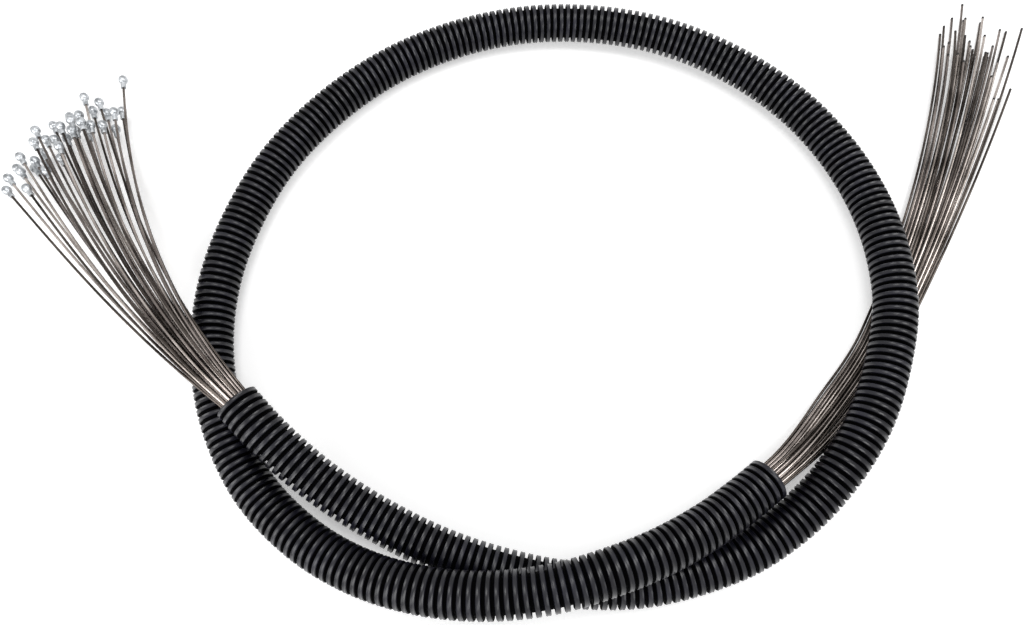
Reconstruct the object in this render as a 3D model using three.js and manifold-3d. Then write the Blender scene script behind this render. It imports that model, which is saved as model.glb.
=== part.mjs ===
// A pack of bicycle brake inner cables, threaded through one coiled length of corrugated conduit.
// Millimetres, +Z up. Everything is laid out about the middle of the loop, resting on z = 0, and the
// group at the end moves it so that the origin lies under the middle of the whole box.
import * as THREE from "three";
import { mergeVertices } from "three/addons/utils/BufferGeometryUtils.js";
import Module from "manifold-3d";

// Driving sizes of the conduit
const BORE_D = 18.4;
const CONDUIT_WALL = 0.4;
const RIB_HEIGHT = 2.9;
const RIB_PITCH = 4.7;
// Driving sizes of a cable and its cast head
const CABLE_D = 1.6;
const HEAD_D = 6;
const HEAD_LENGTH = 5.5;
const NECK_D = 3.9;
const NECK_LENGTH = 3.5;
// Gaps between neighbours
const CLEARANCE = 0.3;
const CROSSING_GAP = 0.7;
const BUNDLE_GAP = 0.05;
const GATE_GAP = 0.35;
const LAYER_GAP = 0.7;

// What follows from them
const conduitR = BORE_D / 2 + CONDUIT_WALL + RIB_HEIGHT;
const grooveR = conduitR - RIB_HEIGHT;
const CONDUIT_SIDES = 8;
const HEAD_SIDES = 6;
const CABLE_SIDES = 3;
// A three-sided section is drawn a little wider than the strand
const CORNER_SHARE = 1.06;
const cableR = (CABLE_D / 2) * CORNER_SHARE;
const flatBoreR = (BORE_D / 2) * Math.cos(Math.PI / CONDUIT_SIDES);
const layerPitch = CABLE_D + LAYER_GAP;
const stackHeight = 2 * cableR + 3 * layerPitch + CLEARANCE;
const crossingHeight = 2 * conduitR + CROSSING_GAP;

// The conduit's centre line from the left mouth to the right one: the angle about the loop's middle,
// the radius, and how far it is lifted, as a share of the crossing conduit and of the crossing cables.
const ROUTE = [
  [-155, 201.5, 0.76, 0],
  [-149, 195.5, 0.66, 0],
  [-142, 190, 0.47, 0],
  [-134, 185, 0.27, 0],
  [-124, 180.5, 0.09, 0],
  [-112, 178.5, 0.01, 0],
  [-100, 179.5, 0, 0],
  [-88, 183.7, 0, 0],
  [-75, 189.5, 0, 0],
  [-60, 196, 0, 0],
  [-52, 199, 0, 0.05],
  [-44, 201, 0, 0.33],
  [-36, 202, 0, 0.79],
  [-27, 203.5, 0, 1.03],
  [-17, 205, 0, 1.05],
  [-7, 207.5, 0, 1.04],
  [3, 208, 0, 0.82],
  [13, 208.5, 0, 0.42],
  [24, 207.5, 0, 0.11],
  [36, 204.3, 0, 0.02],
  [50, 199, 0, 0],
  [65, 194, 0, 0],
  [80, 189.5, 0, 0],
  [95, 187, 0, 0],
  [110, 186, 0, 0],
  [125, 187.3, 0, 0],
  [140, 190.5, 0, 0],
  [155, 196.5, 0, 0],
  [168, 202, 0, 0],
  [181, 209, 0, 0],
  [193, 214.4, 0, 0],
  [205, 218, 0, 0],
  [217, 218.5, 0.02, 0],
  [228, 214, 0.18, 0],
  [238, 207.5, 0.41, 0],
  [248, 199.5, 0.69, 0],
  [258, 191.5, 0.9, 0],
  [268, 184, 1, 0],
  [278, 177.5, 0.96, 0],
  [288, 174, 0.8, 0],
  [298, 172.5, 0.59, 0],
  [306, 172.5, 0.44, 0],
  [313, 174, 0.35, 0],
];

// One line for each cable: its row and column in the packed bundle, where its head lies and where
// its tip lies, each as x and y.
const CABLES = [
  [-3, -1.5, -318, 123, 291, 166],
  [-3, -0.5, -318, 105, 305, 182],
  [-3, 0.5, -343, 84, 317, 187],
  [-3, 1.5, -349, 78, 333, 190],
  [-2, -2, -308, 121, 296, 202],
  [-2, -1, -333, 118, 304, 200],
  [-2, 0, -343, 111, 316, 198],
  [-2, 1, -346, 100, 315, 168],
  [-2, 2, -361, 78, 330, 169],
  [-1, -2.5, -293, 118, 287, 193],
  [-1, -1.5, -322, 115, 304, 212],
  [-1, -0.5, -322, 103, 303, 176],
  [-1, 0.5, -328, 82, 306, 155],
  [-1, 1.5, -345, 80, 327, 190],
  [-1, 2.5, -360, 67, 314, 132],
  [0, -3, -310, 125, 283, 186],
  [0, -2, -295, 104, 288, 179],
  [0, -1, -321, 129, 304, 200],
  [0, 0, -327, 97, 303, 169],
  [0, 1, -341, 86, 314, 170],
  [0, 2, -353, 72, 320, 163],
  [0, 3, -359, 58, 324, 140],
  [1, -2.5, -292, 138, 282, 174],
  [1, -1.5, -300, 103, 289, 170],
  [1, -0.5, -322, 107, 299, 183],
  [1, 0.5, -330, 92, 309, 165],
  [1, 1.5, -331, 69, 311, 149],
  [1, 2.5, -341, 56, 341, 189],
  [2, -2, -294, 113, 284, 167],
  [2, -1, -308, 103, 291, 168],
  [2, 0, -328, 102, 302, 171],
  [2, 1, -344, 99, 317, 174],
  [2, 2, -350, 79, 309, 131],
  [3, -1.5, -310, 101, 291, 185],
  [3, -0.5, -315, 95, 292, 160],
  [3, 0.5, -321, 83, 313, 197],
  [3, 1.5, -338, 86, 309, 167],
];
const OUTER_ROW = 3;

// Two places that the cables pass side by side on the ground, under the loop: x, y, heading, and how
// many degrees the headings of neighbours differ
const GATES = [
  [175, -79, 49, 0],
  [202.5, -42.8, 58, 0.25],
];

// How far the fan of heads turns to one side as it leaves the mouth, and how much each column
// adds to that, in degrees
const FAN_TURN = 4;
const FAN_SPREAD = 1.8;

// How the bundle opens out towards a mouth
const OPENING_LENGTH = 60;
const OPENING_STATION = 25;
const MOUTH_FILL = 1;
const MOUTH_ROW_SHARE = 0.826;
const bundlePitch = CABLE_D + BUNDLE_GAP;
const bundleRowPitch = bundlePitch * Math.sin(Math.PI / 3);
const mouthPitch = ((flatBoreR - CLEARANCE - cableR) / OUTER_ROW) * MOUTH_FILL;
const mouthRowPitch = mouthPitch * MOUTH_ROW_SHARE;

const UP = new THREE.Vector3(0, 0, 1);
const at = (x, y, z) => new THREE.Vector3(x, y, z);
const degrees = THREE.MathUtils.degToRad;

// The centre line as a smooth curve with its places measured along its length
const centreLine = new THREE.CatmullRomCurve3(
  ROUTE.map(([angle, radius, overConduit, overCables]) => {
    const height = conduitR + overConduit * crossingHeight + overCables * stackHeight;
    return at(radius * Math.cos(degrees(angle)), radius * Math.sin(degrees(angle)), height);
  }),
);
centreLine.arcLengthDivisions = 4000;
const routeLength = centreLine.getLength();

// A ring of points around a centre, square to a direction, with one point at the bottom
function ring(centre, along, radius, sides) {
  const side = along.clone().cross(UP).normalize();
  const up = side.clone().cross(along).normalize();
  return Array.from({ length: sides }, (_, i) => {
    const angle = (i * 2 * Math.PI) / sides - Math.PI / 2;
    return centre
      .clone()
      .addScaledVector(side, radius * Math.cos(angle))
      .addScaledVector(up, radius * Math.sin(angle));
  });
}

// The closed surface over a run of rings, with a bore through it if a second run is given
function shell(outer, bore) {
  const points = [];
  const faces = [];
  const sides = outer[0].length;
  const lay = (rings, outwards) => {
    const first = points.length;
    rings.forEach((r) => points.push(...r));
    for (let k = 0; k + 1 < rings.length; k++)
      for (let i = 0; i < sides; i++) {
        const next = (i + 1) % sides;
        const [a, b] = [first + k * sides + i, first + k * sides + next];
        const quad = [a, a + sides, b, a + sides, b + sides, b];
        faces.push(...(outwards ? quad : quad.reverse()));
      }
    return [first, first + (rings.length - 1) * sides];
  };
  const [start, end] = lay(outer, true);
  if (bore) {
    const [boreStart, boreEnd] = lay(bore, false);
    for (let i = 0; i < sides; i++) {
      const next = (i + 1) % sides;
      faces.push(start + i, start + next, boreStart + i);
      faces.push(start + next, boreStart + next, boreStart + i);
      faces.push(end + next, end + i, boreEnd + i);
      faces.push(end + next, boreEnd + i, boreEnd + next);
    }
  } else
    for (let i = 1; i + 1 < sides; i++) {
      faces.push(start, start + i, start + i + 1);
      faces.push(end, end + i + 1, end + i);
    }
  const geometry = new THREE.BufferGeometry().setFromPoints(points);
  geometry.setIndex(faces);
  return geometry;
}

// How far the curve bows out from the straight line between two places along it
function bow(from, to) {
  const chord = centreLine.getPointAt(from).add(centreLine.getPointAt(to)).multiplyScalar(0.5);
  return centreLine.getPointAt((from + to) / 2).sub(chord);
}

// Places along the curve, as far apart as the bow allows
const STEP = 0.0005;
function places(from, to, allowedBow) {
  const found = [from];
  for (let u = from + STEP; u < to; u += STEP)
    if (bow(found.at(-1), u).length() > allowedBow) found.push(u - STEP);
  found.push(to);
  return found;
}

// Centres at these places, each moved outwards by half the bow, so that the straight pieces between
// them stray from the curve as little on one side as on the other
function centres(found) {
  return found.map((u, i) => {
    const centre = centreLine.getPointAt(u);
    if (i > 0 && i + 1 < found.length) {
      centre.addScaledVector(bow(found[i - 1], u), 0.25);
      centre.addScaledVector(bow(u, found[i + 1]), 0.25);
    }
    return centre;
  });
}

// The conduit: one crest and one groove for each rib outside, and a smooth bore
const ribs = Math.round(routeLength / RIB_PITCH);
const ribRings = Array.from({ length: 2 * ribs + 1 }, (_, i) => {
  const u = i / (2 * ribs);
  const radius = i % 2 ? grooveR : conduitR;
  return ring(centreLine.getPointAt(u), centreLine.getTangentAt(u), radius, CONDUIT_SIDES);
});
const BORE_BOW = 0.3;
const borePlaces = places(0, 1, BORE_BOW);
const boreCentres = centres(borePlaces);
const boreRings = borePlaces.map((u, i) =>
  ring(boreCentres[i], centreLine.getTangentAt(u), BORE_D / 2, CONDUIT_SIDES),
);

// The bundle inside it
const bundleR = OUTER_ROW * bundlePitch + cableR;
const room = flatBoreR - CLEARANCE - bundleR - BORE_BOW / 2;
const opening = OPENING_LENGTH / routeLength;
const openingStation = OPENING_STATION / routeLength;
const innerPlaces = places(opening, 1 - opening, 1.9 * room);
const bundlePlaces = [0, openingStation, ...innerPlaces, 1 - openingStation, 1];
const bundleCentres = centres(bundlePlaces);
const bundle = bundlePlaces.map((u, i) => {
  const along = centreLine.getTangentAt(u);
  const side = along.clone().cross(UP).normalize();
  const opened = Math.max(0, 1 - Math.min(u, 1 - u) / opening);
  return {
    centre: bundleCentres[i],
    side,
    up: side.clone().cross(along),
    pitch: THREE.MathUtils.lerp(bundlePitch, mouthPitch, opened),
    rowPitch: THREE.MathUtils.lerp(bundleRowPitch, mouthRowPitch, opened),
  };
});

// A free stretch that leaves one point in a direction and reaches another in a direction
function stretch(from, leaving, to, arriving, steps) {
  const reach = from.distanceTo(to) / 3;
  const curve = new THREE.CubicBezierCurve3(
    from,
    from.clone().addScaledVector(leaving, reach),
    to.clone().addScaledVector(arriving, -reach),
    to,
  );
  return curve.getPoints(steps).slice(1);
}

// A level heading as a direction, and any direction turned about the upright
const heading = (angle) => at(Math.cos(degrees(angle)), Math.sin(degrees(angle)), 0);
const turned = (direction, angle) => direction.clone().applyAxisAngle(UP, degrees(angle));

// The level direction at the end of an even bend, given the direction at its start
function bent(leaving, from, to) {
  const chord = to.clone().sub(from).setZ(0).normalize();
  const level = leaving.clone().setZ(0).normalize();
  return chord.multiplyScalar(2 * level.dot(chord)).sub(level);
}

const layerOf = (row) => Math.floor((row + OUTER_ROW) / 2);
const FREE_STEPS = 5;
const FAN_STEPS = 4;
const MOUTH_STEPS = 3;

// Each cable's place across a gate, counted from the middle of its layer
function gatePlace([row, column]) {
  const layer = CABLES.filter(([other]) => layerOf(other) === layerOf(row));
  layer.sort((a, b) => a[1] - b[1] || a[0] - b[0]);
  const place = layer.findIndex((c) => c[0] === row && c[1] === column);
  return place - (layer.length - 1) / 2;
}

// All points of one cable, from its head through the conduit to its tip
function cablePoints(cable) {
  const [row, column, headX, headY, tipX, tipY] = cable;
  const layer = layerOf(row);
  const inside = bundle.map(({ centre, side, up, pitch, rowPitch }) =>
    centre.clone().addScaledVector(side, column * pitch).addScaledVector(up, row * rowPitch),
  );
  const out = turned(centreLine.getTangentAt(0).negate(), FAN_TURN + FAN_SPREAD * column);
  const head = at(headX, headY, HEAD_D / 2 + layer * (HEAD_D + LAYER_GAP));
  const left = stretch(inside[0], out, head, bent(out, inside[0], head), FREE_STEPS);
  const place = gatePlace(cable);
  const height = cableR + layer * layerPitch;
  const right = [];
  let from = inside.at(-1);
  let leaving = centreLine.getTangentAt(1);
  GATES.forEach(([x, y, angle, spread], i) => {
    const across = heading(angle).cross(UP);
    const gate = at(x, y, height).addScaledVector(across, place * (CABLE_D + GATE_GAP));
    const onwards = heading(angle - spread * place);
    right.push(...stretch(from, leaving, gate, onwards, i ? 1 : MOUTH_STEPS));
    from = gate;
    leaving = onwards;
  });
  const tip = at(tipX, tipY, height);
  right.push(...stretch(from, leaving, tip, bent(leaving, from, tip), FAN_STEPS));
  return [...left.reverse(), ...inside, ...right];
}

// The tube along a line of points
function tube(points, radius, sides) {
  const last = points.length - 1;
  const rings = points.map((point, i) => {
    const along = points[Math.min(i + 1, last)].clone().sub(points[Math.max(i - 1, 0)]);
    return ring(point, along.normalize(), radius, sides);
  });
  return shell(rings);
}

// The cast head: distance from its far end and radius, from the neck to the rounded end
const HEAD_PROFILE = [
  [HEAD_LENGTH + NECK_LENGTH, NECK_D / 2],
  [HEAD_LENGTH, NECK_D / 2],
  [0.9 * HEAD_LENGTH, HEAD_D / 2],
  [0.25 * HEAD_LENGTH, HEAD_D / 2],
  [0, 0.3 * HEAD_D],
];

const wasm = await Module();
wasm.setup();

// A geometry as a solid that can be joined to others
function solid(geometry) {
  const position = new THREE.BufferGeometry();
  position.setAttribute("position", geometry.getAttribute("position"));
  position.setIndex(geometry.index);
  const merged = mergeVertices(position, 1e-4);
  return new wasm.Manifold(
    new wasm.Mesh({
      numProp: 3,
      vertProperties: merged.attributes.position.array,
      triVerts: new Uint32Array(merged.index.array),
    }),
  );
}

// A solid back as a geometry
function geometryOf(body) {
  const mesh = body.getMesh();
  const geometry = new THREE.BufferGeometry();
  geometry.setAttribute("position", new THREE.BufferAttribute(mesh.vertProperties, mesh.numProp));
  geometry.setIndex(new THREE.BufferAttribute(mesh.triVerts, 1));
  return geometry;
}

// One cable with its head cast on
function cable(row) {
  const points = cablePoints(row);
  const outwards = points[0].clone().sub(points[1]).normalize();
  const headEnd = points[0].clone().addScaledVector(outwards, HEAD_D / 2);
  const rings = HEAD_PROFILE.map(([back, radius]) =>
    ring(headEnd.clone().addScaledVector(outwards, -back), outwards, radius, HEAD_SIDES),
  );
  const strand = solid(tube(points, cableR, CABLE_SIDES));
  return geometryOf(strand.add(solid(shell(rings))));
}

const conduitPlastic = new THREE.MeshStandardMaterial({ color: 0x2c2e31, roughness: 0.5 });
const steel = new THREE.MeshStandardMaterial({ color: 0xa69a8c, roughness: 0.35, metalness: 1 });

function named(name, geometry, material) {
  const mesh = new THREE.Mesh(geometry, material);
  mesh.name = name;
  return mesh;
}

const group = new THREE.Group();
group.add(named("conduit", shell(ribRings, boreRings), conduitPlastic));
CABLES.forEach((row, i) => {
  const number = String(i + 1).padStart(2, "0");
  group.add(named(`cable_${number}`, cable(row), steel.clone()));
});

// The origin goes under the middle of the box
const box = new THREE.Box3().setFromObject(group);
const middle = box.getCenter(new THREE.Vector3());
group.position.set(-middle.x, -middle.y, -box.min.z);

export default group;
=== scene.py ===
# %% [markdown]
# # A bundle of bicycle brake cables in a coiled conduit
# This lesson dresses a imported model: one length of corrugated tube, coiled once, with a pack of
# steel brake inner cables threaded through it. Their cast heads fan out of one mouth and their
# plain tips fan out of the other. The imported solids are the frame, and every piece built here
# stands where they say.

# %% Load the frame
import math

import bpy
import numpy as np
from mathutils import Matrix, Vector


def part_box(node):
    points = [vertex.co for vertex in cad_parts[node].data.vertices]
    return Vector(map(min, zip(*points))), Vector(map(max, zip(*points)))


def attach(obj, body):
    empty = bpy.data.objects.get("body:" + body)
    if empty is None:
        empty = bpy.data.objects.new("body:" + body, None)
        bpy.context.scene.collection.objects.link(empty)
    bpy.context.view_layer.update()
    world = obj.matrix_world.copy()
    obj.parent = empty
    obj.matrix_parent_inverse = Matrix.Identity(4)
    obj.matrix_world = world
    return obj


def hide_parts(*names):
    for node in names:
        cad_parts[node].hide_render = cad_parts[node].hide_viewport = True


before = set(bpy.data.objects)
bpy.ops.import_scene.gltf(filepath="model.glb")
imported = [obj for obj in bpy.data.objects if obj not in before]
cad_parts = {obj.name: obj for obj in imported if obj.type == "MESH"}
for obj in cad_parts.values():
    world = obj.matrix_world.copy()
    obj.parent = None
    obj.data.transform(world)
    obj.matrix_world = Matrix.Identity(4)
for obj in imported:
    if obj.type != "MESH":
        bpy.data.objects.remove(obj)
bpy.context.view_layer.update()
MM = 0.001
print("solids in the frame:", len(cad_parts))

# %% [markdown]
# The conduit's middle line is what everything hangs on, so it comes first. On the real thing it is
# a springy tube that lies on the table, climbs over its own other end and is propped up a little
# by the flattened cables that run under it. The points are given about the loop's middle: the
# angle, the radius, and how far the tube is lifted, as a share of a conduit and of the cables. A
# centripetal spline goes through them, because it never overshoots into a kink. Lengths are in
# millimetres and angles in degrees, until a piece is placed in the frame.

# %% The route of the conduit
CONDUIT_D = 25.0
CROSSING_GAP = 0.7
CABLE_D = 1.6
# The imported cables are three-sided rods, whose corners reach a little beyond the round strand
CABLE_CORNER_R = 0.848
LAYERS = 4
LAYER_PITCH = 2.3
CLEARANCE = 0.3
STACK_HEIGHT = 2 * CABLE_CORNER_R + (LAYERS - 1) * LAYER_PITCH + CLEARANCE
ROUTE = (
    (-155, 201.5, 0.76, 0), (-149, 195.5, 0.66, 0), (-142, 190, 0.47, 0), (-134, 185, 0.27, 0),
    (-124, 180.5, 0.09, 0), (-112, 178.5, 0.01, 0), (-100, 179.5, 0, 0), (-88, 183.7, 0, 0),
    (-75, 189.5, 0, 0), (-60, 196, 0, 0), (-52, 199, 0, 0.05), (-44, 201, 0, 0.33),
    (-36, 202, 0, 0.79), (-27, 203.5, 0, 1.03), (-17, 205, 0, 1.05), (-7, 207.5, 0, 1.04),
    (3, 208, 0, 0.82), (13, 208.5, 0, 0.42), (24, 207.5, 0, 0.11), (36, 204.3, 0, 0.02),
    (50, 199, 0, 0), (65, 194, 0, 0), (80, 189.5, 0, 0), (95, 187, 0, 0), (110, 186, 0, 0),
    (125, 187.3, 0, 0), (140, 190.5, 0, 0), (155, 196.5, 0, 0), (168, 202, 0, 0), (181, 209, 0, 0),
    (193, 214.4, 0, 0), (205, 218, 0, 0), (217, 218.5, 0.02, 0), (228, 214, 0.18, 0),
    (238, 207.5, 0.41, 0), (248, 199.5, 0.69, 0), (258, 191.5, 0.9, 0), (268, 184, 1, 0),
    (278, 177.5, 0.96, 0), (288, 174, 0.8, 0), (298, 172.5, 0.59, 0), (306, 172.5, 0.44, 0),
    (313, 174, 0.35, 0),
)
UP = np.array((0.0, 0.0, 1.0))
EAST = np.array((1.0, 0.0, 0.0))
SAMPLES_PER_SPAN = 100


def spline(points):
    """A centripetal curve through all the points, as many close samples."""
    ends = np.vstack((2 * points[0] - points[1], points, 2 * points[-1] - points[-2]))
    # What makes it centripetal: each span counts as the square root of its length
    roots = np.sqrt(np.linalg.norm(np.diff(ends, axis=0), axis=1))
    t = np.linspace(0, 1, SAMPLES_PER_SPAN, endpoint=False)[:, None]
    runs = []
    for span in range(len(points) - 1):
        before, start, end, after = ends[span:span + 4]
        a, b, c = roots[span:span + 3]
        leaving = ((start - before) / a - (end - before) / (a + b) + (end - start) / b) * b
        arriving = ((end - start) / b - (after - start) / (b + c) + (after - end) / c) * b
        square = 3 * (end - start) - 2 * leaving - arriving
        cube = 2 * (start - end) + leaving + arriving
        runs.append(start + leaving * t + square * t**2 + cube * t**3)
    return np.vstack(runs + [points[-1:]])


def along(line):
    """How far along the line each of its points lies."""
    return np.concatenate(([0], np.cumsum(np.linalg.norm(np.diff(line, axis=0), axis=1))))


def at_lengths(line, lengths):
    """Points of the line at these lengths along it."""
    measured = along(line)
    return np.stack([np.interp(lengths, measured, line[:, axis]) for axis in range(3)], axis=1)


route_points = np.array([
    (
        radius * math.cos(math.radians(angle)),
        radius * math.sin(math.radians(angle)),
        CONDUIT_D / 2 + conduits * (CONDUIT_D + CROSSING_GAP) + cables * STACK_HEIGHT,
    )
    for angle, radius, conduits, cables in ROUTE
])
middle_line = spline(route_points)
CONDUIT_LENGTH = along(middle_line)[-1]
print("conduit length in mm:", round(CONDUIT_LENGTH, 1))

# %% [markdown]
# A tube is a run of rings, and each ring stands square to the line that it goes around. So every
# point of a line gets three directions: onwards, level to the side, and square to both, upwards.
# A ring is then a turn around the last two.

# %% Rings square to a line
# How far before and after a place on a line its direction is measured
SIGHT_STEP = 0.5


def unit(vectors):
    """The same directions, each with a length of one."""
    return vectors / np.linalg.norm(vectors, axis=-1, keepdims=True)


def three_directions(onwards):
    """These directions, with the level and the upward direction square to each."""
    sides = unit(np.cross(onwards, UP))
    return onwards, sides, np.cross(sides, onwards)


def directions_of(points):
    """The three directions at each of these evenly spaced points."""
    return three_directions(unit(np.gradient(points, axis=0)))


def directions_at(line, lengths):
    """The three directions at these lengths along a line, from just before and just after."""
    whole = along(line)[-1]
    before = at_lengths(line, np.clip(lengths - SIGHT_STEP, 0, whole))
    after = at_lengths(line, np.clip(lengths + SIGHT_STEP, 0, whole))
    return three_directions(unit(after - before))


def rings_about(points, directions, turns, radii):
    """Rings around these points, with a corner at each turn, in radians, and radius."""
    _, sides, ups = directions
    across = np.cos(turns)[..., None] * sides[:, None]
    upwards = np.sin(turns)[..., None] * ups[:, None]
    return points[:, None] + radii * (across + upwards)


def even_turns(sides):
    """This many even turns around, starting level."""
    return np.linspace(0, 2 * math.pi, sides, endpoint=False)


print("turns of a square ring:", even_turns(4).round(2))

# %% [markdown]
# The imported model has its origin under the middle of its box, and the route is laid out about the
# loop's middle. The difference is measured, not typed in: the tube's own reach to the left, the
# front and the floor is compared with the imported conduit's.

# %% Find where the loop's middle lies in the frame
REACH_STEP = 2.35
REACH_SIDES = 8
reach_line = at_lengths(middle_line, np.arange(0, CONDUIT_LENGTH, REACH_STEP))
reach_turns = even_turns(REACH_SIDES)
reach_rings = rings_about(reach_line, directions_of(reach_line), reach_turns, CONDUIT_D / 2)
conduit_low = np.array(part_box("conduit")[0]) / MM
LOOP_MIDDLE = conduit_low - reach_rings.reshape(-1, 3).min(axis=0)
print("loop's middle in the frame in mm:", LOOP_MIDDLE.round(2))


def placed(points):
    """Points about the loop's middle, in millimetres, as points of the frame, in metres."""
    return (np.asarray(points, float) + LOOP_MIDDLE) * MM


# %% [markdown]
# The photograph was taken from close by with a wide lens, nearly straight down: the far side of
# the loop looks smaller than the near side. The height and the angle come from the tube's width
# and the spacing of its ribs, which are the same all the way round on the real thing.

# %% The camera
LENS_MM = 24
SENSOR_MM = 36
LOOK_DOWN_DEGREES = 73
CAMERA_POINT = (-26.3, -150.4, 416.0)
NEAREST_SEEN_M = 0.01
bpy.ops.object.camera_add(
    location=placed(CAMERA_POINT), rotation=(math.radians(90 - LOOK_DOWN_DEGREES), 0, 0),
)
camera = bpy.context.object
camera.name = "camera"
camera.data.lens = LENS_MM
camera.data.sensor_width = SENSOR_MM
camera.data.clip_start = NEAREST_SEEN_M
bpy.context.scene.camera = camera
print("camera height in m:", round(camera.location.z, 3))

# %% [markdown]
# Each cable is one steel strand with a small head cast onto one end. All of them are threaded
# through the same tube, packed like pencils in the middle and looser at the mouths. Every line
# below is one cable: its row and column in the pack, where its head lies and where its tip lies.

# %% The cables and where their ends lie
CABLES = (
    (-3, -1.5, -318, 123, 291, 166), (-3, -0.5, -318, 105, 305, 182),
    (-3, 0.5, -343, 84, 317, 187), (-3, 1.5, -349, 78, 333, 190),
    (-2, -2, -308, 121, 296, 202), (-2, -1, -333, 118, 304, 200),
    (-2, 0, -343, 111, 316, 198), (-2, 1, -346, 100, 315, 168),
    (-2, 2, -361, 78, 330, 169), (-1, -2.5, -293, 118, 287, 193),
    (-1, -1.5, -322, 115, 304, 212), (-1, -0.5, -322, 103, 303, 176),
    (-1, 0.5, -328, 82, 306, 155), (-1, 1.5, -345, 80, 327, 190),
    (-1, 2.5, -360, 67, 314, 132), (0, -3, -310, 125, 283, 186),
    (0, -2, -295, 104, 288, 179), (0, -1, -321, 129, 304, 200),
    (0, 0, -327, 97, 303, 169), (0, 1, -341, 86, 314, 170),
    (0, 2, -353, 72, 320, 163), (0, 3, -359, 58, 324, 140),
    (1, -2.5, -292, 138, 282, 174), (1, -1.5, -300, 103, 289, 170),
    (1, -0.5, -322, 107, 299, 183), (1, 0.5, -330, 92, 309, 165),
    (1, 1.5, -331, 69, 311, 149), (1, 2.5, -341, 56, 341, 189),
    (2, -2, -294, 113, 284, 167), (2, -1, -308, 103, 291, 168),
    (2, 0, -328, 102, 302, 171), (2, 1, -344, 99, 317, 174),
    (2, 2, -350, 79, 309, 131), (3, -1.5, -310, 101, 291, 185),
    (3, -0.5, -315, 95, 292, 160), (3, 0.5, -321, 83, 313, 197),
    (3, 1.5, -338, 86, 309, 167),
)
OUTER_ROW = 3
ROWS_PER_LAYER = 2
# Two places that the cables pass side by side on the table, under the loop: x, y, heading, and how
# many degrees the headings of neighbours differ
GATES = ((175, -79, 49, 0), (202.5, -42.8, 58, 0.25))
GATE_PITCH = 1.95
# How far the fan of heads turns to one side as it leaves the mouth, and what each column adds
FAN_TURN = 4.0
FAN_SPREAD = 1.8
HEAD_D = 6.0
HEAD_LAYER_PITCH = 6.7
# The pack's spacing across and from row to row, in the middle of the tube and at its mouths
BUNDLE_PITCH = 1.65
BUNDLE_ROW_PITCH = 1.43
MOUTH_PITCH = 2.45
MOUTH_ROW_PITCH = 2.02
OPENING_LENGTH = 60.0


def layer_of(row):
    """The layer that a row of the pack becomes where the cables lie flat."""
    return (row + OUTER_ROW) // ROWS_PER_LAYER


def gate_place(cable):
    """A cable's place across a gate, counted from the middle of its layer."""
    layer = sorted(
        (other[:2] for other in CABLES if layer_of(other[0]) == layer_of(cable[0])),
        key=lambda slot: (slot[1], slot[0]),
    )
    return layer.index(cable[:2]) - (len(layer) - 1) / 2


print("cables in each layer:", [sum(layer_of(c[0]) == n for c in CABLES) for n in range(LAYERS)])

# %% [markdown]
# Inside the tube each cable keeps its place in the pack. Outside it is free, and a springy wire
# takes up an even bend: a cubic curve whose two handles are a third of the way long leaves in one
# direction and arrives in another.

# %% Lay the cables
INSIDE_STEP = 4.0
FREE_SAMPLES = 120
GATE_SAMPLES = 60


def stretch(start, leaving, end, arriving, count):
    """A free stretch that leaves one point in a direction and reaches another in a direction."""
    t = np.linspace(0, 1, count)[:, None]
    handle = np.linalg.norm(end - start) / 3
    first, second = start + leaving * handle, end - arriving * handle
    return (
        (1 - t) ** 3 * start + 3 * t * (1 - t) ** 2 * first
        + 3 * t**2 * (1 - t) * second + t**3 * end
    )


def turned(direction, degrees):
    """A direction turned about the upright."""
    x, y, z = direction
    cosine, sine = math.cos(math.radians(degrees)), math.sin(math.radians(degrees))
    return np.array((cosine * x - sine * y, sine * x + cosine * y, z))


def bent(leaving, start, end):
    """The level direction at the end of an even bend, given the direction at its start."""
    chord, level = (unit(np.append(v[:2], 0.0)) for v in (end - start, leaving))
    return 2 * (level @ chord) * chord - level


inside_places = np.linspace(0, CONDUIT_LENGTH, round(CONDUIT_LENGTH / INSIDE_STEP) + 1)
inside_line = at_lengths(middle_line, inside_places)
inside_directions, inside_sides, inside_ups = directions_of(inside_line)
to_mouth = np.minimum(inside_places, CONDUIT_LENGTH - inside_places)
opened = np.clip(1 - to_mouth / OPENING_LENGTH, 0, 1)[:, None]
pitches = BUNDLE_PITCH + (MOUTH_PITCH - BUNDLE_PITCH) * opened
row_pitches = BUNDLE_ROW_PITCH + (MOUTH_ROW_PITCH - BUNDLE_ROW_PITCH) * opened


def cable_line(cable):
    """All points of one cable from its tip to the middle of its head."""
    row, column, head_x, head_y, tip_x, tip_y = cable
    layer = layer_of(row)
    inside = inside_line + inside_sides * column * pitches + inside_ups * row * row_pitches
    head = np.array((head_x, head_y, HEAD_D / 2 + layer * HEAD_LAYER_PITCH))
    out = turned(-inside_directions[0], FAN_TURN + FAN_SPREAD * column)
    left = stretch(inside[0], out, head, bent(out, inside[0], head), FREE_SAMPLES)
    height = CABLE_CORNER_R + layer * LAYER_PITCH
    start, heading = inside[-1], inside_directions[-1]
    place = gate_place(cable)
    right = []
    for x, y, angle, spread in GATES:
        across = np.cross(turned(EAST, angle), UP)
        gate = np.array((x, y, height)) + across * place * GATE_PITCH
        onwards = turned(EAST, angle - spread * place)
        right.append(stretch(start, heading, gate, onwards, GATE_SAMPLES)[1:])
        start, heading = gate, onwards
    tip = np.array((tip_x, tip_y, height))
    right.append(stretch(start, heading, tip, bent(heading, start, tip), FREE_SAMPLES)[1:])
    return np.vstack((np.vstack(right)[::-1], inside[::-1], left[1:]))


cable_lines = [cable_line(cable) for cable in CABLES]
longest = max(along(line)[-1] for line in cable_lines)
print("cables:", len(cable_lines), "longest in mm:", round(longest))

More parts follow.
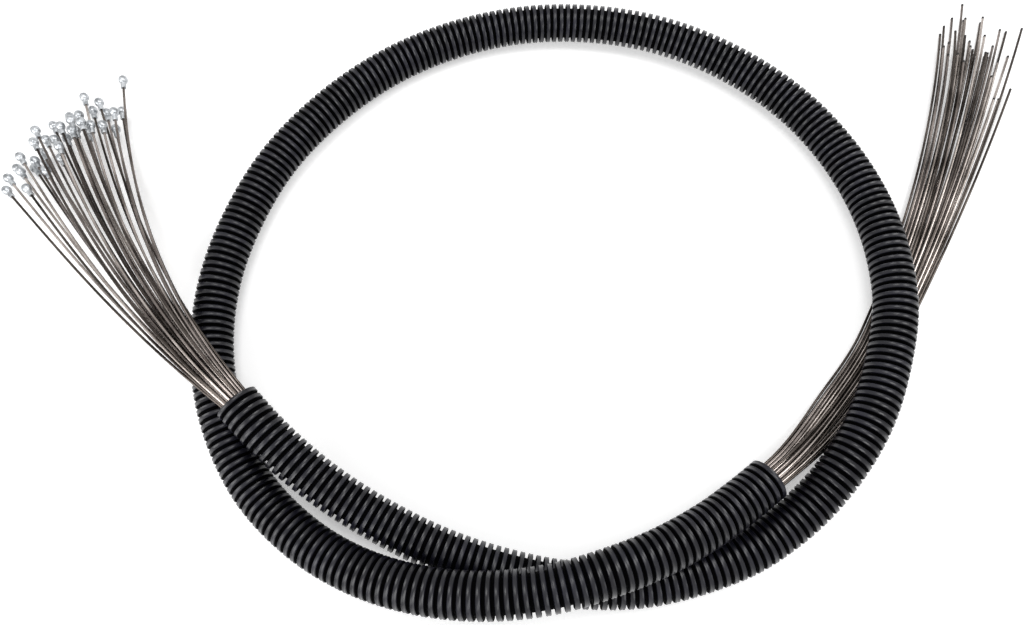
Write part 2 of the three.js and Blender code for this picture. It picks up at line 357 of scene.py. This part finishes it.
# %% [markdown]
# One helper sews any grid of points into a mesh, ring by ring, and closes the two ends, so the
# conduit and the strands are made the same way. Another leaves one piece selected, because an
# operator acts on everything that is.

# %% Sew rings into a closed tube
def sewn(name, grid, bore_grid=None):
    """A mesh from rings of points, closed by flat ends or by a bore made of a second run."""
    count, sides = grid.shape[:2]
    corners = np.arange(sides)
    following = (corners + 1) % sides

    def quads(rings, first, inwards):
        start = first + np.arange(rings - 1)[:, None] * sides
        next_ring = start + sides
        around = (start + corners, next_ring + corners, next_ring + following, start + following)
        faces = np.stack(around[::-1] if inwards else around, axis=-1)
        return faces.reshape(-1, 4).tolist()

    faces = quads(count, 0, False)
    points = grid.reshape(-1, 3)
    last = (count - 1) * sides
    if bore_grid is None:
        faces.append(corners.tolist())
        faces.append((last + corners[::-1]).tolist())
    else:
        bore = count * sides
        bore_last = bore + (len(bore_grid) - 1) * sides
        faces += quads(len(bore_grid), bore, True)
        faces += np.stack((corners, following, bore + following, bore + corners), axis=-1).tolist()
        ends = (last + following, last + corners, bore_last + corners, bore_last + following)
        faces += np.stack(ends, axis=-1).tolist()
        points = np.vstack((points, bore_grid.reshape(-1, 3)))
    mesh = bpy.data.meshes.new(name)
    mesh.from_pydata(points.tolist(), [], faces)
    mesh.update()
    piece = bpy.data.objects.new(name, mesh)
    bpy.context.scene.collection.objects.link(piece)
    return piece


def select_alone(piece):
    """Leaves only this piece selected and active."""
    bpy.ops.object.select_all(action="DESELECT")
    piece.select_set(True)
    bpy.context.view_layer.objects.active = piece


print("helpers:", sewn.__name__, select_alone.__name__)

# %% [markdown]
# Corrugated conduit is blown against a row of moulds, which gives it flat-topped ribs with steep
# flanks, small round shoulders and a slight sink between them, with narrow grooves from rib to
# rib. Each rib is eight rings. The ends are cut through a groove, as they are on a real reel, so
# the last rib is whole and the thin wall shows only at its foot. The bore is left smooth, because
# the cables fill it.

# %% The corrugated conduit
RIB_PITCH = 4.7
RIB_TOP_R = CONDUIT_D / 2
GROOVE_R = 9.6
BORE_R = 9.2
# Half a rib, from its foot inwards: how far from its middle, as a share of the pitch, and how high
RIB_HALF = ((0.325, GROOVE_R), (0.287, 12.05), (0.21, RIB_TOP_R), (0.065, 12.28))
RIB_RINGS = [(-share, radius) for share, radius in RIB_HALF] + list(RIB_HALF[::-1])
# How far the cut lies from the middle of the last rib, as a share of the pitch
CUT_SHARE = 0.4
CONDUIT_SIDES = 32
BORE_STEP = 8.0
CONDUIT_SMOOTH_DEGREES = 60


def round_rings(lengths, radii):
    """Rings of the conduit at these lengths along it, with a corner at the bottom."""
    points, directions = at_lengths(middle_line, lengths), directions_at(middle_line, lengths)
    turns = even_turns(CONDUIT_SIDES) - math.pi / 2
    return placed(rings_about(points, directions, turns, radii[:, None, None]))


rib_count = round(CONDUIT_LENGTH / RIB_PITCH)
rib_pitch = CONDUIT_LENGTH / (rib_count - 1 + 2 * CUT_SHARE)
rib_middles = (np.arange(rib_count) + CUT_SHARE) * rib_pitch
rib_rings = [(0.0, GROOVE_R)]
for middle in rib_middles:
    rib_rings += [(middle + share * rib_pitch, radius) for share, radius in RIB_RINGS]
rib_rings.append((CONDUIT_LENGTH, GROOVE_R))
rib_lengths, rib_radii = np.array(rib_rings).T
bore_lengths = np.linspace(0, CONDUIT_LENGTH, round(CONDUIT_LENGTH / BORE_STEP) + 1)
conduit = sewn(
    "corrugated_conduit",
    round_rings(rib_lengths, rib_radii),
    round_rings(bore_lengths, np.full(len(bore_lengths), BORE_R)),
)
select_alone(conduit)
bpy.ops.object.shade_smooth_by_angle(angle=math.radians(CONDUIT_SMOOTH_DEGREES))
print("ribs:", rib_count, "faces:", len(conduit.data.polygons))

# %% [markdown]
# A brake strand is a bundle of thin hard wires laid in a spiral, and what the eye sees is the
# row of slanting bumps that the outer wires make. Each strand is therefore a tube with a lobed
# section that turns as it goes. A real strand has twelve outer wires that turn once in 16 mm, too
# fine to show from here, so it is drawn coarser, with eight that turn once in 32 mm. Where the
# conduit hides it, the rings are far apart.

# %% The strands
LOBES = 8
LOBE_DEPTH = 0.045
STRAND_SIDES = 2 * LOBES
LAY_LENGTH = 32.0
# How far apart the rings are where the strand shows and where it doesn't, and how far inside a
# mouth it still counts as showing
VISIBLE_STEP = 1.8
HIDDEN_STEP = 16.0
HIDDEN_MARGIN = 20.0


def mouths_of(line):
    """How far along a cable's line the conduit's two mouths lie, the one on the tip's side first."""
    measured = along(line)
    return [
        measured[np.argmin(np.linalg.norm(line - mouth, axis=1))]
        for mouth in (inside_line[-1], inside_line[0])
    ]


def strand(name, line):
    """One twisted strand along a line of points."""
    tip_mouth, head_mouth = mouths_of(line)
    whole = along(line)[-1]
    hidden = (tip_mouth + HIDDEN_MARGIN, head_mouth - HIDDEN_MARGIN)
    lengths = np.concatenate((
        np.linspace(0, hidden[0], round(hidden[0] / VISIBLE_STEP), endpoint=False),
        np.linspace(*hidden, round((hidden[1] - hidden[0]) / HIDDEN_STEP), endpoint=False),
        np.linspace(hidden[1], whole, round((whole - hidden[1]) / VISIBLE_STEP)),
    ))
    corners = np.arange(STRAND_SIDES)
    turns = corners * math.pi / LOBES + 2 * math.pi * lengths[:, None] / LAY_LENGTH
    radii = CABLE_D / 2 - LOBE_DEPTH * (corners % 2)
    points, directions = at_lengths(line, lengths), directions_at(line, lengths)
    return sewn(name, placed(rings_about(points, directions, turns, radii[:, None])))


strands = []
for number, line in enumerate(cable_lines, 1):
    piece = strand(f"strand_{number:02d}", line)
    for face in piece.data.polygons:
        face.use_smooth = True
    strands.append(piece)
print("strands:", len(strands), "faces in the first:", len(strands[0].data.polygons))

# %% [markdown]
# The head is cast from zinc straight onto the strand: a ball that sits in the brake lever, with a
# short stout neck where the strand goes in. It is turned up from one disc by extruding its end
# and drawing the new rings in or out, then rounded with a subdivision.

# %% Model one head
NECK_R = 1.7
HEAD_SIDES = 16
# The chamfer at the foot of the neck: its lower radius as a share of the neck's, and its height
FOOT_SHARE = 0.94
FOOT_HEIGHT = 0.15
# From the neck to the far end: how far each ring is extruded and how much it is then scaled
HEAD_STEPS = (
    (0.6, 1.04), (2.9, 1.0), (0.6, 1.02), (0.6, 1.44), (1.1, 1.16), (1.2, 0.995), (1.2, 0.94),
    (1.1, 0.74), (0.55, 0.48),
)
HEAD_SUBDIVISIONS = 1
HEAD_SMOOTH_DEGREES = 40


def extrude_end(step, scale):
    """Extrudes the selected end along Z and scales the new ring."""
    bpy.ops.mesh.extrude_region_move(TRANSFORM_OT_translate={"value": (0, 0, step * MM)})
    bpy.ops.transform.resize(value=(scale, scale, 1))


bpy.ops.mesh.primitive_circle_add(
    vertices=HEAD_SIDES, radius=FOOT_SHARE * NECK_R * MM, fill_type="NGON", enter_editmode=True,
)
bpy.ops.mesh.select_all(action="SELECT")
extrude_end(FOOT_HEIGHT, 1 / FOOT_SHARE)
for step, scale in HEAD_STEPS:
    extrude_end(step, scale)
bpy.ops.mesh.select_all(action="SELECT")
bpy.ops.mesh.normals_make_consistent(inside=False)
bpy.ops.object.mode_set(mode="OBJECT")
head_model = bpy.context.object
head_model.name = "head_model"
bpy.ops.object.modifier_add(type="SUBSURF")
rounding = head_model.modifiers[-1]
rounding.levels = HEAD_SUBDIVISIONS
rounding.render_levels = HEAD_SUBDIVISIONS
bpy.ops.object.modifier_apply(modifier=rounding.name)
bpy.ops.object.shade_smooth_by_angle(angle=math.radians(HEAD_SMOOTH_DEGREES))
head_length = head_model.dimensions.z / MM
head_faces = len(head_model.data.polygons)
print("head in mm:", [round(side / MM, 2) for side in head_model.dimensions], "faces:", head_faces)

# %% [markdown]
# Every cable gets its own copy of the head, turned to lie in line with the end of its strand.
# The place is put into the mesh, so that the piece itself sits unturned at the origin.

# %% Cast the heads onto the strands
heads = []
for number, line in enumerate(cable_lines, 1):
    copy = head_model.copy()
    copy.data = head_model.data.copy()
    copy.name = f"head_{number:02d}"
    bpy.context.scene.collection.objects.link(copy)
    outwards = unit(line[-1] - line[-2])
    # The line ends in the middle of the ball
    foot = line[-1] + outwards * (HEAD_D / 2 - head_length)
    select_alone(copy)
    copy.rotation_euler = Vector(outwards).to_track_quat("Z", "Y").to_euler()
    copy.location = placed(foot)
    bpy.ops.object.transform_apply(location=True, rotation=True, scale=True)
    heads.append(copy)
bpy.data.objects.remove(head_model)
print("heads:", len(heads))

# %% [markdown]
# Materials are built from nodes. One function turns a written sRGB colour into the linear values
# that the shader needs, and one adds a node with its settings and links. The tube, the wire and
# the cast heads all have a skin whose tone and gloss drift in patches, over a fine relief. Each
# size in such a skin is a real one, in millimetres, and becomes the scale of a noise.

# %% Helpers for materials
def linear(text):
    """An sRGB colour such as "808080" as linear red, green, blue and a full alpha."""
    shares = [int(text[i:i + 2], 16) / 255 for i in (0, 2, 4)]
    lit = [s / 12.92 if s <= 0.04045 else ((s + 0.055) / 1.055) ** 2.4 for s in shares]
    return lit + [1]


def grey(value):
    """A plain number as a colour, for a ramp that drives a number."""
    return value, value, value, 1


def added(tree, kind, settings=(), inputs=(), links=()):
    """Adds a node, sets its properties and sockets, and links other outputs to its sockets."""
    node = tree.nodes.new(kind)
    for name, value in dict(settings).items():
        setattr(node, name, value)
    for name, value in dict(inputs).items():
        node.inputs[name].default_value = value
    for name, output in dict(links).items():
        tree.links.new(output, node.inputs[name])
    return node


def new_material(name, settings):
    """A material and its shader, with these values in the shader's sockets."""
    material = bpy.data.materials.new(name)
    material.use_nodes = True
    shader = material.node_tree.nodes["Principled BSDF"]
    for socket, value in settings.items():
        shader.inputs[socket].default_value = value
    return material, shader


def patchy_skin(name, settings, patches, tones, roughness, grain, relief):
    """A skin whose tone and roughness drift in patches, over a grain in relief.

    Patches and grain are each a size in millimetres and the values of a noise. Tones and
    roughness are two stops each: a place in the noise and a colour.
    """
    material, shader = new_material(name, settings)
    tree = material.node_tree
    place = added(tree, "ShaderNodeTexCoord")
    drift, bumps = (
        added(
            tree, "ShaderNodeTexNoise", inputs={"Scale": 1 / (size * MM), **values},
            links={"Vector": place.outputs["Object"]},
        ).outputs["Fac"]
        for size, values in (patches, grain)
    )
    for socket, stops in (("Base Color", tones), ("Roughness", roughness)):
        ramp = added(tree, "ShaderNodeValToRGB", links={"Fac": drift})
        for element, stop in zip(ramp.color_ramp.elements, stops):
            element.position, element.color = stop
        tree.links.new(ramp.outputs["Color"], shader.inputs[socket])
    bump = added(tree, "ShaderNodeBump", inputs=relief, links={"Height": bumps})
    tree.links.new(bump.outputs["Normal"], shader.inputs["Normal"])
    return material


print("mid grey in linear values:", [round(value, 3) for value in linear("808080")])

# %% [markdown]
# The tube is black polyethylene, corrugated hot against chilled moulds. That gives its ribs a satin
# skin, neither glossy nor chalky, with a slightly paler bloom in patches of some 20 mm where the
# reel has rubbed them, and a grain of 0.7 mm from the mould. The floors and flanks of the grooves
# have a material of their own, rough, near black and almost without reflection: painted shade, for
# the shade that falls deep in the grooves.

# %% Black polyethylene, blow moulded
BLACK = linear("0a0a11")
RUBBED = linear("1a1a24")
# Painted shade: the near black of the groove floors and flanks
GROOVE_PAINTED_SHADE = linear("030304")
BLOOM_MM = 20.0
GRAIN_MM = 0.7
polyethylene = patchy_skin(
    "black_polyethylene_corrugated",
    {"Specular IOR Level": 0.38},
    patches=(BLOOM_MM, {"Detail": 4.0, "Roughness": 0.6}),
    tones=((0.42, BLACK), (0.72, RUBBED)),
    roughness=((0.35, grey(0.28)), (0.7, grey(0.34))),
    grain=(GRAIN_MM, {"Detail": 2.0}),
    relief={"Strength": 0.12, "Distance": 0.1 * MM},
)
# Painted shade: a near-black, almost unreflecting skin for the floors and flanks of the grooves
groove_painted_shade, _ = new_material(
    "polyethylene_grooves_painted_shade",
    {"Base Color": GROOVE_PAINTED_SHADE, "Roughness": 0.85, "Specular IOR Level": 0.04},
)
conduit.data.materials.append(polyethylene)
conduit.data.materials.append(groove_painted_shade)
# The outer faces come first, band by band from ring to ring
bands = (rib_lengths[:-1] + rib_lengths[1:]) / 2
from_middle = np.abs(bands[:, None] - rib_middles).min(axis=1) / rib_pitch
shoulder_share = RIB_HALF[1][0]
# Faces past the ribs' shoulders lie in a groove and take the painted shade
in_shaded_groove = from_middle > shoulder_share
for face in conduit.data.polygons[:len(bands) * CONDUIT_SIDES]:
    face.material_index = int(in_shaded_groove[face.index // CONDUIT_SIDES])
print("materials:", polyethylene.name, groove_painted_shade.name)

# %% [markdown]
# The strands are galvanised or stainless steel wire, drawn bright and left slightly oily, which
# turns them a warm grey. The strands take three tones of it in turn, a dull, a plain and a bright
# one: the dull one is painted shade and the bright one painted highlight, for the shade between
# neighbouring wires and the lamps' highlights on them. The tips are fused, to keep the wires
# together, which leaves a dark blob on each.

# %% Drawn steel wire, stranded
# Lit and shaded copies of one steel: the dull tone is painted shade, the bright tone painted
# highlight
STEEL_TONES = (
    ("drawn_steel_painted_shade", linear("2e2926"), linear("5c5550")),
    ("drawn_steel_plain", linear("544d49"), linear("958c87")),
    ("drawn_steel_painted_highlight", linear("7a726c"), linear("c4bbb5")),
)
FUSED_BLACK = linear("1a1715")
OIL_MM = 28.0
DIE_MARK_MM = 0.4
steels = [
    patchy_skin(
        name,
        {"Metallic": 1.0},
        patches=(OIL_MM, {"Detail": 3.0, "Roughness": 0.55}),
        tones=((0.35, dark), (0.65, pale)),
        roughness=((0.3, grey(0.2)), (0.7, grey(0.28))),
        grain=(DIE_MARK_MM, {"Detail": 2.0}),
        relief={"Strength": 0.08, "Distance": 0.05 * MM},
    )
    for name, dark, pale in STEEL_TONES
]
fused, _ = new_material("fused_wire_end", {"Base Color": FUSED_BLACK, "Roughness": 0.6})
# Neighbouring strands take the tones in turn, which paints shade and highlights between them
for number, piece in enumerate(strands):
    piece.data.materials.append(steels[number % len(steels)])
    piece.data.materials.append(fused)
    # The first ring of corners is the tip's
    for face in piece.data.polygons:
        touches_tip = min(face.vertices) < STRAND_SIDES
        face.material_index = int(touches_tip)
print("materials:", [steel.name for steel in steels], fused.name)

# %% [markdown]
# The heads are zinc, cast in a steel die and tumbled, so they are a cool bright silver whose skin
# wavers every 2 or 3 mm, which breaks up what they mirror.

# %% Die-cast zinc, tumbled
ZINC_DARK = linear("909396")
ZINC_PALE = linear("c0c3c6")
CAST_MM = 2.4
CAST_SKIN = (CAST_MM, {"Detail": 3.0, "Roughness": 0.5})
zinc = patchy_skin(
    "die_cast_zinc",
    {"Metallic": 1.0},
    patches=CAST_SKIN,
    tones=((0.38, ZINC_DARK), (0.56, ZINC_PALE)),
    roughness=((0.3, grey(0.32)), (0.7, grey(0.44))),
    grain=CAST_SKIN,
    relief={"Strength": 0.35, "Distance": 0.3 * MM},
)
for head in heads:
    head.data.materials.append(zinc)
print("material:", zinc.name)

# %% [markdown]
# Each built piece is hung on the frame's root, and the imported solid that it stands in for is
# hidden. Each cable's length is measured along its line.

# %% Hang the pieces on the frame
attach(conduit, "root")
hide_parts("conduit")
cable_lengths = []
for number, (piece, line, head) in enumerate(zip(strands, cable_lines, heads), 1):
    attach(piece, "root")
    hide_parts(f"cable_{number:02d}")
    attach(head, "root")
    length = along(line)[-1]
    cable_lengths.append(length)
print("cable lengths in mm:", round(min(cable_lengths)), "to", round(max(cable_lengths)))

# %% [markdown]
# The bundle lies on a plain white table under soft studio lamps. The table stays grey enough to
# hold the shadow in its own light, and shows white to the camera and in reflections. Away from the
# bundle, where the lamps no longer reach, it glows more, so that no edge shows from any side.

# %% The table and the backdrop
TABLE_M = 8.0
TABLE_WHITE = linear("f4f4f4")
# How far from the bundle's middle the table's glow starts and stops rising, and from what to what
NEAR_M = 0.45
FAR_M = 1.3
NEAR_GLOW = 0.36
FAR_GLOW = 1.0
WORLD_LIGHT = 0.32
WHITE = (1, 1, 1, 1)


def seen_rays(tree):
    """One where a ray comes from the camera, straight, mirrored or through glass, else zero."""
    rays = added(tree, "ShaderNodeLightPath")
    seen = rays.outputs["Is Camera Ray"]
    for kind in ("Is Glossy Ray", "Is Transmission Ray"):
        either = added(
            tree, "ShaderNodeMath", {"operation": "MAXIMUM"}, links={0: seen, 1: rays.outputs[kind]},
        )
        seen = either.outputs[0]
    return seen


bpy.ops.mesh.primitive_plane_add(size=TABLE_M)
table = bpy.context.object
table.name = "table_top"
paper, shader = new_material(
    "white_table",
    {
        "Base Color": TABLE_WHITE, "Roughness": 1.0, "Specular IOR Level": 0.0,
        "Emission Color": WHITE,
    },
)
tree = paper.node_tree
place = added(tree, "ShaderNodeTexCoord")
away = added(
    tree, "ShaderNodeVectorMath", {"operation": "LENGTH"}, links={0: place.outputs["Object"]},
)
rise = added(
    tree, "ShaderNodeMapRange",
    inputs={"From Min": NEAR_M, "From Max": FAR_M, "To Min": NEAR_GLOW, "To Max": FAR_GLOW},
    links={"Value": away.outputs["Value"]},
)
glow = added(
    tree, "ShaderNodeMath", {"operation": "MULTIPLY"},
    links={0: seen_rays(tree), 1: rise.outputs["Result"]},
)
tree.links.new(glow.outputs[0], shader.inputs["Emission Strength"])
table.data.materials.append(paper)

world = bpy.data.worlds.new("studio")
bpy.context.scene.world = world
world.use_nodes = True
tree = world.node_tree
backdrop = tree.nodes["Background"]
strength = added(
    tree, "ShaderNodeMapRange", inputs={"To Min": WORLD_LIGHT, "To Max": 1.0},
    links={"Value": seen_rays(tree)},
)
backdrop.inputs["Color"].default_value = WHITE
tree.links.new(strength.outputs["Result"], backdrop.inputs["Strength"])
print("table:", table.name, "backdrop:", world.name)

# %% [markdown]
# Four square softboxes stand around the bundle and aim at its middle. They are large and near, so
# the ribs get long soft highlights and the shadow under the tube has no hard edge.

# %% The lamps
# Each one's name, place and side in metres, and watts
LAMPS = (
    ("top_softbox", (-0.1, 0.25, 1.1), 0.5, 4.6),
    ("right_softbox", (0.75, 0.25, 0.85), 0.5, 4.6),
    ("left_softbox", (-0.9, -0.55, 0.55), 0.7, 6.8),
    ("front_softbox", (-0.3, -0.95, 0.7), 0.6, 3.2),
)
for name, point, size, watts in LAMPS:
    bpy.ops.object.light_add(type="AREA", location=point)
    lamp = bpy.context.object
    lamp.name = name
    lamp.data.size = size
    lamp.data.energy = watts
    lamp.rotation_euler = (-Vector(point)).to_track_quat("-Z", "Y").to_euler()
print("lamps:", len(LAMPS))

# %% [markdown]
# The picture uses the plain Standard view.

# %% Finish
bpy.context.scene.view_settings.view_transform = "Standard"
